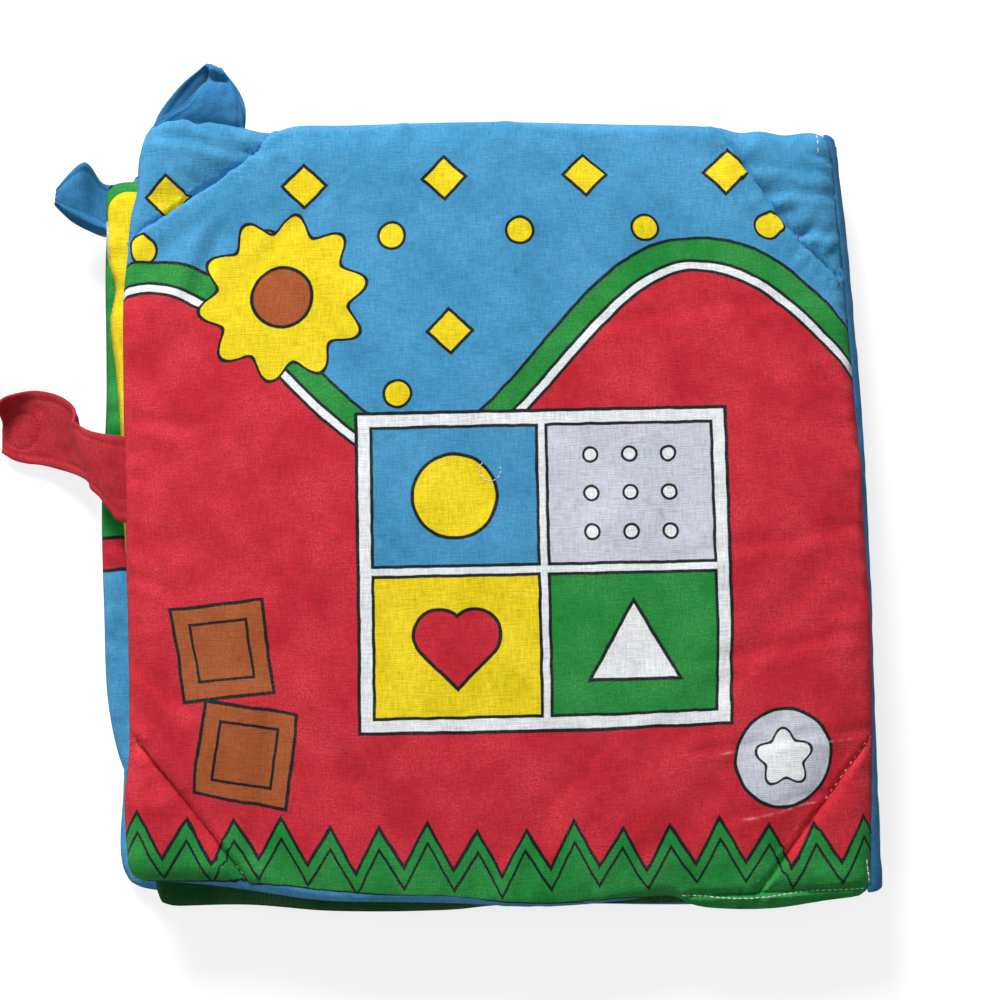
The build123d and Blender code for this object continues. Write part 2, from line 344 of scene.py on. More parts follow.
def fill(piece, pressure, fullness, last_frame):
    """Simulates the filling: the cloth swells between its sewn lines."""
    mesh = piece.data
    held = [index for index, sewn in enumerate(mesh.attributes["sewn"].data) if sewn.value > 0.5]
    piece.vertex_groups.new(name="held").add(held, 1.0, "REPLACE")
    filling = piece.modifiers.new("filling", "CLOTH")
    filling.settings.quality = 5
    filling.settings.mass = 0.15
    filling.settings.tension_stiffness = 15
    filling.settings.compression_stiffness = 15
    filling.settings.shear_stiffness = 5
    filling.settings.bending_stiffness = 0.05
    filling.settings.use_pressure = True
    filling.settings.uniform_pressure_force = pressure
    filling.settings.shrink_min = -fullness
    filling.settings.effector_weights.gravity = 0
    filling.settings.vertex_group_mass = "held"
    filling.collision_settings.use_collision = False
    filling.point_cache.frame_start = 1
    filling.point_cache.frame_end = last_frame
    for number in range(1, last_frame + 1):
        bpy.context.scene.frame_set(number)
    swollen = piece.evaluated_get(bpy.context.evaluated_depsgraph_get()).data
    for vert, moved in zip(mesh.vertices, swollen.vertices):
        vert.co = moved.co
    piece.modifiers.remove(filling)
    piece.vertex_groups.clear()
    bpy.context.scene.frame_set(1)


def pad_out(piece, middle, top, bottom, run, pucker):
    """Gives the filling its thickness above and below the middle, in mm: even inside and rounded down to
    the sewn edge within a run. A share of the puckers that the simulated cloth made stays on it."""
    calming_turns = 12
    most_pucker = 1.1
    pucker_run = 4
    least_room = 0.2
    mesh = piece.data
    cloth = [place.vector.copy() for place in mesh.attributes["cloth"].data]
    edge_points = kdtree.KDTree(len(cloth))
    for index, sewn in enumerate(mesh.attributes["sewn"].data):
        if sewn.value > 1.5:
            edge_points.insert(cloth[index].xy.to_3d(), index)
    edge_points.balance()
    rises = numpy.array([place.z * (vert.co.z / MM - middle) for vert, place in zip(mesh.vertices, cloth)])
    joined = numpy.array([edge.vertices[:] for edge in mesh.edges])
    count = numpy.bincount(joined.ravel(), minlength=len(cloth))
    calm = rises.copy()
    for turn in range(calming_turns):
        total = numpy.zeros(len(cloth))
        numpy.add.at(total, joined[:, 0], calm[joined[:, 1]])
        numpy.add.at(total, joined[:, 1], calm[joined[:, 0]])
        calm = total / count
    puckers = numpy.clip(rises - calm, -most_pucker, most_pucker) * pucker
    for vert, place, puckered in zip(mesh.vertices, cloth, puckers):
        if place.z == 0:
            continue
        gap = edge_points.find(place.xy.to_3d())[2]
        room = top if place.z > 0 else bottom
        full = room * (1 - math.exp(-gap / run)) + puckered * min(gap / pucker_run, 1)
        vert.co.z = (middle + place.z * max(min(full, room), least_room)) * MM


def cut_beside(piece, seams):
    """Adds lines of points close beside each seam, so that its crease can be sharp."""
    form = bmesh.new()
    form.from_mesh(piece.data)
    for seam in seams:
        for step in (-3.0, -1.4, 1.4, 3.4):
            cut_along(form, seam, step, reach=6.0, overrun=0.1, unit=MM)
    form.to_mesh(piece.data)
    form.free()
    for face in piece.data.polygons:
        face.use_smooth = True


def soften(piece):
    """One subdivision, applied."""
    finer = piece.modifiers.new("finer", "SUBSURF")
    finer.levels = 1
    finer.render_levels = 1
    settle(piece)


back_sides = (
    [(-116.4, -114.9), (-99.3, -116.3), (-79.7, -119.2), (-62.7, -122.4), (-52.5, -123.7), (-36, -124.6),
     (-16.1, -125.8), (15.9, -127.8), (37.8, -127), (49, -126), (53.5, -126.3), (59, -129.2),
     (71.4, -130.9), (85, -131.1), (98.5, -129.6), (114.4, -128.2)],
    [(114.4, -128.2), (117.6, -85), (119.6, -46.2), (119.6, -17.6), (119.4, 11.3), (118.6, 40.7),
     (118.2, 60.4), (117.2, 90.3), (116.2, 110.4), (114.7, 116.2)],
    [(-106.2, 127.6), (-96.8, 128.9), (-81.8, 127), (-67.3, 123), (-58.5, 125), (-43.8, 124.6),
     (2.1, 124), (47.9, 121.4), (78.9, 119.3), (87, 116.9), (93, 117.5), (101, 115.6),
     (107, 116.2), (114.7, 116.2)],
    [(-116.4, -114.9), (-117.6, -90.2), (-115.7, -73.1), (-116, 14.1), (-115.9, 42), (-115.4, 70),
     (-113.6, 86), (-112.6, 97), (-110.6, 104), (-109.6, 116), (-106.2, 127.6)],
)
# Each quilting seam runs with its corner on the left, and the top corners' seams bend, so each is two
# straight runs. The numbers say how far the main field hangs over it, in mm, which share of the filling it
# presses down, and over what run the main field and the corner rise. The last row is the closing topstitch.
back_seams = (
    ((-113.5, 87.4), (-70.5, 114.6), 1.7, 1, 0.9, 5.5),
    ((-70.5, 114.6), (-65.6, 123), 1.4, 0.9, 0.9, 4),
    ((77.6, 118.8), (101.6, 80.4), 1.7, 1, 0.9, 5.5),
    ((101.6, 80.4), (115.5, 66), 1.7, 1, 0.9, 5.5),
    ((117.5, -78.9), (80.3, -125.2), 0.2, 0.5, 4, 0.8),
    ((-77.3, -118.4), (-115.5, -68.1), 0.4, 0.6, 1.2, 2.6),
    ((112.5, -126.2), (58.5, -126.4), 0, 0.6, 3, 0.8),
)
back_middle = 25.0


def draw_seams(piece, middle, seams, side, bed):
    """Draws the quilting seams into one sheet, down to its bed, in mm from the middle: steep on the main
    field's side, where the cloth hangs over, and soft on the corner's."""
    reach = 22
    cloth = piece.data.attributes["cloth"].data
    for vert, place in zip(piece.data.vertices, cloth):
        if place.vector.z * side <= 0.2:
            continue
        height = side * (vert.co.z / MM - middle)
        for start_place, end_place, hang, depth, main_run, corner_run in seams:
            off, share = beside((start_place, end_place), place.vector)
            held = window(share, 0.0, 1.0, 0.05)
            if held == 0 or abs(off) > reach:
                continue
            out = Vector((start_place[1] - end_place[1], end_place[0] - start_place[0])).normalized()
            ripple = noise.noise(Vector((share * 12, off / 10, start_place[0])))
            if off < 0:
                left = math.exp(off / main_run)
                swell = 0.10 * math.exp(-((off + 4.5) / 3.0) ** 2) * (1 + 1.5 * ripple)
                slide = hang * math.exp(-((off + 1.9) / 2.2) ** 2) * (1 + 0.25 * ripple)
            else:
                left = math.exp(-off / corner_run)
                swell = (0.12 + 0.30 * ripple) * math.exp(-((off - 6) / 5) ** 2)
                slide = -0.4 * math.exp(-((off - 2.5) / 3.0) ** 2)
            height -= (height - bed) * depth * (left - swell) * held
            vert.co.x += out.x * slide * held * MM
            vert.co.y += out.y * slide * held * MM
        vert.co.z = (middle + side * height) * MM


def wrinkle(piece, folds, ruffle):
    """Presses soft folds into the upper sheet. A fold is its two ends, its width and its depth, in mm.
    Short puckers run in from the sewn edges."""
    edge_left, edge_right, edge_low, edge_high = -116, 118, -122, 123
    pucker_reach, pucker_width, pucker_length = 7, 4.2, 16
    cloth = piece.data.attributes["cloth"].data
    for vert, place in zip(piece.data.vertices, cloth):
        if place.vector.z <= 0.2:
            continue
        x, y = place.vector.xy
        from_side = min(x - edge_left, edge_right - x)
        from_end = min(y - edge_low, edge_high - y)
        side_pucker = noise.noise(Vector((x / pucker_length, y / pucker_width, 3)))
        end_pucker = noise.noise(Vector((x / pucker_width, y / pucker_length, 7)))
        sunk = ruffle * math.exp(-from_side / pucker_reach) * side_pucker
        sunk += ruffle * math.exp(-from_end / pucker_reach) * end_pucker
        sunk += 0.45 * noise.noise(Vector((x / 26, y / 26, 11)))
        bend = 1.2 * noise.noise(Vector((x / 14, y / 14, 1)))
        for x0, y0, x1, y1, width, depth in folds:
            off, share = beside(((x0, y0), (x1, y1)), place.vector)
            if abs(off) > 4 * width or not -0.4 < share < 1.4:
                continue
            held = window(share, 0.1, 0.9, 0.45)
            away = (off + bend) / width
            sunk += depth * held * (math.exp(-away**2) - 0.45 * math.exp(-((away + 1.7) ** 2)))
        vert.co.z -= sunk * MM


back_folds = (
    (-82, 88, -90, 68, 3.2, 1.3),
    (-75, 92, -62, 60, 5, 0.6),
    (-104, 122.5, -80, 117, 1.7, 1.1),
    (-88, 125, -70, 114, 2, 0.9),
    (-112, 98, -98, 104, 3, 0.8),
    (-60, 118, -52, 96, 3.5, 0.5),
    (96, 96, 114, 94, 1.6, 0.9),
    (92, 104, 113, 102, 2, 0.7),
    (101, 84, 116, 81.5, 1.6, 0.9),
    (98, 114, 108, 99, 2, 0.9),
    (109, 107, 118, 105.5, 1.3, 1.4),
    (60, 112, 66, 96, 3, 0.5),
    (66, -80, 112, -77, 1.2, 0.5),
    (72, -101.5, 101, -95.5, 1.2, 0.5),
    (28, 52, 112, 62, 2.4, 0.35),
    (60, -20, 118, -12, 2.4, 0.45),
    (66, -52, 118, -46, 2.2, 0.4),
    (-70, -66, -76, -104, 3.4, 0.6),
    (-46, -82, -26, -112, 3.6, 0.6),
    (-112, -48, -96, -62, 2.6, 0.7),
    (-113, -20, -98, -26, 2.4, 0.6),
    (-112, 30, -92, 26, 2.4, 0.6),
    (6, -118, 14, -100, 2.8, 0.7),
    (44, -119, 40, -102, 2.8, 0.6),
)
back_cover = sew_pad("back_cover_cloth", back_sides, back_seams, back_middle, corner=5.0, pitch=3.0)
fill(back_cover, pressure=2.0, fullness=0.03, last_frame=18)
pad_out(back_cover, back_middle, top=4.3, bottom=2.5, run=3.0, pucker=0.6)
cut_beside(back_cover, back_seams)
soften(back_cover)
draw_seams(back_cover, back_middle, back_seams, side=1, bed=-0.7)
draw_seams(back_cover, back_middle, back_seams, side=-1, bed=1.2)
wrinkle(back_cover, back_folds, ruffle=0.9)


def stamp(ground, *rows):
    """Prints fields of colour one on the other. Each row is its ink, the distance that is 0 on its outline,
    and the width of the dark line along it, in mm."""
    blur = 0.1
    line_blur = 0.12
    for ink, distance, line in rows:
        ground = distance.ramp(blur, -blur).pick(ground, ink)
        if line:
            drawn = distance.size().ramp(line / 2 + line_blur, line / 2 - line_blur)
            ground = drawn.pick(ground, outline_ink)
    return ground


outline_ink = colour(22, 30, 34)
sky_ink = colour(66, 146, 192)
red_ink = colour(200, 40, 54)
green_ink = colour(32, 138, 58)
yellow_ink = colour(238, 212, 24)
brown_ink = colour(166, 86, 44)
white_ink = colour(232, 236, 238)
grey_ink = colour(202, 206, 218)


class Motif:
    """Places on a flat printed cloth, in mm, as seen from a motif's own middle and at its own turn. Each
    shape is a distance from its outline, less than 0 inside it."""

    def __init__(self, place):
        self.place = place
        self.x = place.node("SeparateXYZ", {0: place})
        self.y = Ink(place.tree, self.x.socket.node.outputs[1])

    def at(self, x, y, turn=0.0):
        inputs = {0: self.place, 1: (x, y, 0), 2: (0, 0, math.radians(turn))}
        return Motif(self.place.node("Mapping", inputs, {"vector_type": "TEXTURE"}))

    def disc(self, radius):
        length = self.place.node("VectorMath", {0: self.place}, {"operation": "LENGTH"}, "Value")
        return length - radius

    def block(self, half_width, half_height, rounding=0.0):
        inside = (self.x.size() - half_width).most(self.y.size() - half_height)
        if not rounding:
            return inside
        over_x = (self.x.size() - (half_width - rounding)).most(0.0)
        over_y = (self.y.size() - (half_height - rounding)).most(0.0)
        return inside.most((over_x * over_x + over_y * over_y).maths("SQRT") - rounding)

    def diamond(self, reach):
        return (self.x.size() + self.y.size() - reach) * math.sqrt(0.5)

    def triangle(self, reach):
        slope = self.x.size() * math.sqrt(0.75) + self.y * 0.5
        return slope.most(self.y * -1.0) - reach / 2

    def rosette(self, radius, depth, count):
        angle = self.y.maths("ARCTAN2", self.x) * count
        return self.disc(radius) - angle.maths("COSINE") * depth

    def heart(self, size):
        half_x = self.x.size()
        lobe_x = half_x - size * 0.5
        lobe_y = self.y - size * 0.5
        lobes = (lobe_x * lobe_x + lobe_y * lobe_y).maths("SQRT") - size * math.sqrt(0.5)
        return lobes.least((half_x + self.y.size() - size) * math.sqrt(0.5))

    def every(self, x, y, step_x, step_y):
        """The same motif repeated at even steps."""
        moved = self.at(x, y)
        near_x = moved.x.maths("WRAP", step_x / 2, -step_x / 2)
        near_y = moved.y.maths("WRAP", step_y / 2, -step_y / 2)
        return Motif(moved.place.node("CombineXYZ", {0: near_x, 1: near_y}))


def new_paint(name):
    """A material, its shader and an empty start for its nodes."""
    paint = bpy.data.materials.new(name)
    paint.use_nodes = True
    return paint, paint.node_tree.nodes["Principled BSDF"], Ink(paint.node_tree, None)


def printed_cotton(name, draw):
    """Plain-weave cotton with a print: draw(motif, place) gives its colour from a motif on the flat cloth,
    a little wavering as if drawn by hand, and from the cloth's place, whose third part is its side."""
    paint, shader, start = new_paint(name)
    place = start.node("Attribute", settings={"attribute_name": "cloth"}, output="Vector")
    multiply = {"operation": "MULTIPLY"}
    flat = place.node("VectorMath", {0: place, 1: (1, 1, 0)}, multiply)
    waver_size = 0.7
    waver = place.node("TexNoise", {"Vector": flat, "Scale": 0.16}, output="Color")
    waver_inputs = {0: waver, 1: (waver_size, waver_size, 0), 2: flat}
    hand_drawn = flat.node("VectorMath", waver_inputs, {"operation": "MULTIPLY_ADD"})
    drawn = draw(Motif(hand_drawn).at(waver_size / 2, waver_size / 2), place)

    thread = 0.55
    weave = Motif(flat)
    over = (weave.x * (math.pi / thread)).maths("SINE") * (weave.y * (math.pi / thread)).maths("SINE")
    relief = over.size().maths("POWER", 0.5)
    slub_place = flat.node("VectorMath", {0: flat, 1: (0.22, 1.7, 1)}, multiply)
    slubs = start.node("TexNoise", {"Vector": slub_place, "Scale": 1.0, "Detail": 2.0})
    warp_place = flat.node("VectorMath", {0: flat, 1: (1.7, 0.22, 1)}, multiply)
    warps = start.node("TexNoise", {"Vector": warp_place, "Scale": 1.0, "Detail": 2.0})
    mottle_inputs = {"Vector": flat, "Scale": 0.045, "Detail": 5.0, "Roughness": 0.65}
    mottle = start.node("TexNoise", mottle_inputs)
    specks = start.node("TexNoise", {"Vector": flat, "Scale": 1.5, "Detail": 2.0})
    shade = mottle * 0.80 + slubs * 0.56 + warps * 0.56 + specks * 0.30 + relief * 0.16 - 0.22
    grey = start.node("CombineColor", {0: shade, 1: shade, 2: shade})
    multiplied = {"data_type": "RGBA", "blend_type": "MULTIPLY"}
    lit = start.node("Mix", {0: 1.0, 6: drawn, 7: grey}, multiplied, output=2)
    faded = (mottle.ramp(0.4, 0.8) * specks.ramp(0.4, 0.75) * 0.16).pick(lit, colour(216, 196, 196))
    faded.feed(shader, "Base Color")

    height = relief * 0.6 + slubs * 0.8 + warps * 0.8
    bump = start.node("Bump", {"Height": height, "Strength": 0.6, "Distance": 0.0002})
    bump.feed(shader, "Normal")
    (mottle * 0.1 + 0.84).feed(shader, "Roughness")
    shader.inputs["Specular IOR Level"].default_value = 0.15
    shader.inputs["Sheen Weight"].default_value = 0.03
    shader.inputs["Sheen Roughness"].default_value = 0.5
    return paint


def draw_back(motif, place):
    """The back cover's print: a wavy red field with striped edges under dots and diamonds, on it a flower,
    brown blocks, a grey ball and four framed patches, and green zigzags along its lower edge."""
    diamonds = motif.every(-100, 102, 45, 49)
    dots = motif.every(-67, 84, 40, 50)
    hill_length = 176
    hill_height = 30.0
    turned = motif.x * (math.tau / hill_length) - 0.9
    slant = turned.maths("COSINE")
    steepness = (hill_height * math.tau / hill_length) ** 2
    hill = motif.y - 40 - turned.maths("SINE") * hill_height
    hill = hill * (slant * slant * steepness + 1).maths("POWER", -0.5)
    flower = motif.at(-62, 66, 8)
    field = stamp(
        sky_ink,
        (yellow_ink, diamonds.diamond(7), 1),
        (yellow_ink, dots.disc(4.2), 0.9),
        (green_ink, hill - 10.5, 1),
        (white_ink, hill - 3.2, 1),
        (red_ink, hill, 1),
        (yellow_ink, flower.rosette(24, 3, 10), 1.2),
        (brown_ink, flower.disc(9.5), 1.1),
    )
    for block_x, block_y, turn in ((-84, -44, 6), (-78, -76, -9)):
        block = motif.at(block_x, block_y, turn)
        for half_side, line in ((14.5, 1.1), (9, 0.9)):
            field = stamp(field, (brown_ink, block.block(half_side, half_side), line))
    ball = motif.at(88, -84, 20)
    framed = motif.at(16, -22, -1.2)
    field = stamp(
        field,
        (grey_ink, ball.disc(15), 1.1),
        (white_ink, ball.rosette(7.5, 1.4, 5), 0.9),
        (white_ink, framed.block(57, 49), 1.1),
    )
    patch_x, patch_y = 27, 23
    for side_x, side_y, ink in ((-1, 1, sky_ink), (1, 1, grey_ink), (-1, -1, yellow_ink), (1, -1, green_ink)):
        patch = framed.at(side_x * patch_x, side_y * patch_y)
        field = stamp(field, (ink, patch.block(25.5, 21.5), 1))
    rings = framed.every(patch_x, patch_y, 12, 12)
    in_patch = framed.at(patch_x, patch_y).block(18, 18)
    zigzag = motif.x.maths("PINGPONG", 7.5) * 1.7 + motif.x.maths("PINGPONG", 23) * 0.16
    peaks = (zigzag - (motif.y + motif.x * 0.045) - 114.5) * 0.5
    hem = (motif.y + motif.x * 0.088 + 122.3).most(motif.y + motif.x * 0.026 + 118.2)
    field = stamp(
        field,
        (yellow_ink, framed.at(-patch_x, patch_y).disc(13), 1.1),
        (white_ink, rings.disc(2.2).most(in_patch), 0.8),
        (red_ink, framed.at(-patch_x, -25).heart(11), 1.1),
        (white_ink, framed.at(patch_x, -26).triangle(16), 1.1),
        (green_ink, peaks * -1, 1),
        (green_ink, (peaks - 3.2) * -1, 0.8),
        (sky_ink, hem.most(motif.x - 46), 0.6),
    )
    for rub_x, rub_y, turn, reach in ((88.7, -80.5, 3.1, 21), (86.5, -100.3, 9.5, 12)):
        rub = motif.at(rub_x, rub_y, turn).block(reach, 0.1).ramp(0.5, -0.1)
        broken_inputs = {"Vector": motif.place, "Scale": 0.3, "Detail": 3.0}
        broken = motif.place.node("TexNoise", broken_inputs)
        field = (rub * broken.ramp(0.42, 0.62) * 0.28).pick(field, white_ink)
    lining = stamp(
        sky_ink,
        (green_ink, motif.block(88, 92, 12), 1.1),
        (white_ink, motif.every(0, 0, 36, 36).disc(5), 1),
    )
    side = place.node("SeparateXYZ", {0: place}, output=2)
    return side.ramp(0, -0.02).pick(field, lining)


back_cover.data.materials.append(printed_cotton("back_cover_cotton", draw_back))
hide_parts("back_cover")
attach(back_cover, "back_board")


# The front cover: the same padded sheet, lying under the leaves with its print on the floor. Its lower
# side is pressed flat, and hollow where the fastening dot sits in it.
front_sides = (
    [(-122.6, -120.2), (-82.8, -126.4), (-20, -129.8), (31.3, -131.8), (63.8, -133.2), (114.8, -132.4)],
    [(114.8, -132.4), (116.7, -61), (117.3, 0), (116.7, 61), (115, 114.2)],
    [(-115.5, 121.5), (-62.4, 120), (-4.6, 119), (57.8, 117.1), (115, 114.2)],
    [(-122.6, -120.2), (-124.6, -108.6), (-123.4, -90), (-121.8, -61), (-119.9, 0), (-118.5, 61),
     (-115.5, 121.5)],
)
front_seams = (
    ((-113, 84), (-76, 120.4), 0.4, 0.8, 1.5, 3),
    ((79, 116.4), (116.2, 76), 0.4, 0.8, 1.5, 3),
    ((116, -92), (72, -133), 0.4, 0.8, 1.5, 3),
    ((-76, -127), (-121.6, -82), 0.4, 0.8, 1.5, 3),
)
front_middle = 5.0
front_cover = sew_pad("front_cover_cloth", front_sides, front_seams, front_middle, corner=6.0, pitch=4.0)
fill(front_cover, pressure=2.0, fullness=0.03, last_frame=14)
pad_out(front_cover, front_middle, top=1.9, bottom=4.95, run=3.0, pucker=0.4)
cut_beside(front_cover, front_seams)
soften(front_cover)
draw_seams(front_cover, front_middle, front_seams, side=1, bed=0.3)
draw_seams(front_cover, front_middle, front_seams, side=-1, bed=0.0)
dot_low, dot_high = (Vector(corner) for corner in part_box("cover_loop_dot"))
dot_middle = ((dot_low + dot_high) / 2).xy
dot_depth = 1.5
floor_gap = 0.02
for vert in front_cover.data.vertices:
    hollow = dot_depth * window(math.dist(vert.co.xy, dot_middle) / MM, 0.0, 9.0, 3.0)
    vert.co.z = max(vert.co.z, (hollow + floor_gap) * MM)


def draw_front(motif, place):
    """The front cover: a red field with a striped border outside, plain blue on the inner side."""
    edge = motif.at(-1, -4).block(104, 112)
    badge = motif.at(0, 10, 4)
    dots = motif.every(-88, -92, 44, 40).disc(5)
    field = stamp(
        sky_ink,
        (green_ink, edge, 1),
        (white_ink, edge + 6, 1),
        (red_ink, edge + 9, 1),
        (yellow_ink, badge.rosette(42, 5, 12), 1.2),
        (sky_ink, badge.disc(27), 1.1),
        (white_ink, badge.heart(12), 1.1),
        (yellow_ink, dots.most(edge + 18).most(badge.disc(50) * -1), 1),
    )
    side = place.node("SeparateXYZ", {0: place}, output=2)
    return side.ramp(0, 0.02).pick(field, sky_ink)


front_cover.data.materials.append(printed_cotton("front_cover_cotton", draw_front))
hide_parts("front_cover")
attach(front_cover, "front_board")


# The leaves: three padded sheets of printed cotton, each cut a little differently, pressed flat by the
# covers and sewn together along the spine.
leaf_cuts = (
    ("low_leaf", 9.65, 7, (
        [(-118.7, -119.6), (-23, -124.4), (107, -126.9)],
        [(107, -126.9), (107, 114.7)],
        [(-116.7, 117), (0, 118.3), (107, 114.7)],
        [(-118.7, -119.6), (-119.4, -36), (-118.3, 49), (-116.7, 117)],
    )),
    ("middle_leaf", 14.65, 7, (
        [(-116.5, -88.5), (-106, -96.5), (-90, -101), (-46, -107.4), (107, -122)],
        [(107, -122), (107, 112)],
        [(-122, 112), (0, 113.4), (107, 112)],
        [(-116.5, -88.5), (-121.4, -79), (-125.2, -59.4), (-126, -33.5), (-126.3, 2.6), (-124.4, 39),
         (-124, 84.5), (-122, 112)],
    )),
    ("top_leaf", 19.65, 5, (
        [(-109, -124.4), (-80, -124.9), (-54.8, -127.8), (-17, -128.9), (-1.2, -128), (60, -129.5),
         (107, -129)],
        [(107, -129), (107, 108)],
        [(-122.4, 110.3), (0, 110), (107, 108)],
        [(-109, -124.4), (-113.6, -61), (-117.9, -3.2), (-118.6, 26.5), (-119.5, 44.3), (-121.5, 64.3),
         (-119.2, 74.2), (-121.8, 83.6), (-122.2, 94.4), (-122.4, 110.3)],
    )),
)


def draw_low(motif, place):
    """The low leaf: blue with a yellow ring on each side."""
    return stamp(sky_ink, (yellow_ink, motif.disc(52), 1.2), (sky_ink, motif.disc(38), 1.2))


def draw_middle(motif, place):
    """The middle leaf: a green upper field, a red band and a blue lower field, with a yellow patch."""
    return stamp(
        green_ink,
        (red_ink, motif.y + 7, 1.2),
        (sky_ink, motif.y + 17.5, 1.2),
        (yellow_ink, motif.at(0, 30, 6).block(38, 24), 1.2),
    )


def draw_top(motif, place):
    """The top leaf: yellow inside a thin green border, with a bare edge, and a green lower field painted dark
    as shade, for the shadow it lies in under the back cover.
    """
    patch = motif.at(0, 20, -5)
    return stamp(
        white_ink,
        (green_ink, 97 - motif.y, 0),
        (yellow_ink, motif.at(-4, -8.5).block(117.3, 114.6, 7), 0),
        # The lower field's green print, painted darker as painted shade for the shadow under the back cover's
        # edge.
        (colour(12, 76, 28), motif.y + 96, 1),
        (white_ink, patch.block(46, 40), 1.2),
        (sky_ink, patch.block(40, 34), 1),
        (red_ink, patch.heart(18), 1.1),
    )


for (leaf_name, leaf_middle, leaf_corner, leaf_sides), leaf_print in zip(
    leaf_cuts, (draw_low, draw_middle, draw_top)
):
    leaf = sew_pad(leaf_name, leaf_sides, (), leaf_middle, leaf_corner, pitch=4.5)
    fill(leaf, pressure=1.6, fullness=0.03, last_frame=10)
    pad_out(leaf, leaf_middle, top=2.2, bottom=2.2, run=2.0, pucker=0.4)
    soften(leaf)
    wrinkle(leaf, (), ruffle=0.7)
    leaf.data.materials.append(printed_cotton(leaf_name + "_cotton", leaf_print))
    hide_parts("pages")
    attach(leaf, "book_block")


# The spine margin: the leaves' folded edges, lying on each other and sewn through inside the strip.
margin_form = bmesh.new()
margin_ring = []
fold_x, fold_z, fold_pitch = 116.3, 10.3, 3.85
fold_depth, fold_half_height = 3.4, 1.9
margin_y, margin_rows, margin_step = -125.5, 24, 9.95
for layer in range(len(leaf_cuts)):
    for turn in range(0, 181, 20):
        angle = math.radians(turn - 90)
        ring_z = fold_z + fold_pitch * layer + fold_half_height * math.sin(angle)
        margin_ring.append((fold_x + fold_depth * math.cos(angle), ring_z))
margin_ring += [(104.0, 20.0), (104.0, 8.4)]
margin_start = [margin_form.verts.new(Vector((x, margin_y, z)) * MM) for x, z in margin_ring]
margin_pairs = zip(margin_start, margin_start[1:] + margin_start[:1])
margin_edge = [margin_form.edges.new(pair) for pair in margin_pairs]
bmesh.ops.contextual_create(margin_form, geom=margin_edge)
for row in range(margin_rows):
    pushed = bmesh.ops.extrude_edge_only(margin_form, edges=margin_edge)["geom"]
    margin_edge = [part for part in pushed if isinstance(part, bmesh.types.BMEdge)]
    for vert in (part for part in pushed if isinstance(part, bmesh.types.BMVert)):
        vert.co.y += margin_step * MM
        vert.co.x += 0.25 * MM * noise.noise(vert.co * 90)
bmesh.ops.contextual_create(margin_form, geom=margin_edge)
bmesh.ops.recalc_face_normals(margin_form, faces=margin_form.faces[:])
margin_cloth = margin_form.verts.layers.float_vector.new("cloth")
for vert in margin_form.verts:
    vert[margin_cloth] = ((vert.co.x + vert.co.z) / MM, vert.co.y / MM, 0)
spine_margin = to_piece("spine_margin", margin_form)
for face in spine_margin.data.polygons:
    face.use_smooth = len(face.vertices) == 4
spine_margin.data.materials.append(printed_cotton("spine_margin_cotton", lambda motif, place: sky_ink))
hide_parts("pages")
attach(spine_margin, "book_block")


# The spine strip: one blue cotton strip from the back cover's seam round the leaves to the front
# cover's. It is made in two halves that meet on the spine, each laid along its own cover's seam.
def through(points, share):
    """A place on a smooth line, where each run between two points is the same share of it."""
    way = min(share, 0.999999) * (len(points) - 1)
    return smooth(points, int(way), way - int(way))


def lay_strip(name, place, width, length, rows, columns, thickness, ruffle, hem):
    """A strip of cloth: place(across, down) says where each share of it lies, in mm. Ruffle is the height
    of its small ripples, and hem says how strongly the folded-in edges stand out beside their stitches."""
    hem_height = 0.28 * hem
    form = bmesh.new()
    bmesh.ops.create_grid(form, x_segments=columns, y_segments=rows, size=0.5)
    cloth = form.verts.layers.float_vector.new("cloth")
    for vert in form.verts:
        across, down = vert.co.x + 0.5, vert.co.y + 0.5
        vert[cloth] = (across * width, down * length, 1.0)
        vert.co = place(across, down) * MM
    form.normal_update()
    for vert in form.verts:
        across = vert[cloth].x
        from_edge = min(across, width - across)
        ripple = ruffle * noise.noise(Vector((across / 5, vert[cloth].y / 5, width)))
        ridge = math.exp(-((from_edge - 1.3) / 0.8) ** 2) - math.exp(-((from_edge - 3.0) / 0.7) ** 2)
        vert.co += vert.normal * (ripple + hem_height * ridge) * MM
    piece = to_piece(name, form)
    wall = piece.modifiers.new("wall", "SOLIDIFY")
    wall.thickness = thickness * MM
    wall.offset = 0
    soften(piece)
    return piece


blue_cotton = printed_cotton("blue_cotton", lambda motif, place: colour(48, 124, 176))
strip_out = [(120.2, -128.0), (120.6, -85.0), (122.6, 0.0), (122.7, 30.0), (121.4, 80.0), (119.6, 116.0)]
strip_low, strip_width, strip_length = -127.6, 13.5, 243.0
seam_lap = 1.2
middle_z = 14.6
for half_name, board, seam_side, start_z, hinge_z in (
    ("spine_strip_upper", "back_board", back_sides[1], 24.9, 0.0243),
    ("spine_strip_lower", "front_board", front_sides[1], 5.1, 0.005),
):
    def round_spine(across, down):
        seam_x = along(seam_side, down).x - seam_lap
        out_x = along(strip_out, down).x
        turn = across * math.pi / 2
        return Vector((
            seam_x + (out_x - seam_x) * math.sin(turn),
            strip_low + strip_length * down,
            middle_z + (start_z - middle_z) * math.cos(turn) ** 1.15,
        ))

    strip = lay_strip(
        half_name,
        round_spine,
        width=strip_width, length=strip_length, rows=110, columns=9, thickness=0.8, ruffle=0.35, hem=0,
    )
    strip.data.materials.append(blue_cotton)
    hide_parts("spine_wrap")
    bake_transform(strip)


# The two loops: blue cotton ribbons, folded on themselves and sewn into an edge, limp and a little
# crushed. The top one is sewn into the back cover, the side one into the middle leaf.
def ribbon(stations):
    """A ribbon through its stations: its one edge, its other edge, and how far it bulges up between them."""
    one = [station[0] for station in stations]
    other = [station[1] for station in stations]
    bulges = [(0, 0, station[2]) for station in stations]

    def place(across, down):
        spot = through(one, down).lerp(through(other, down), across)
        return spot + through(bulges, down) * math.sin(math.pi * across)

    return place


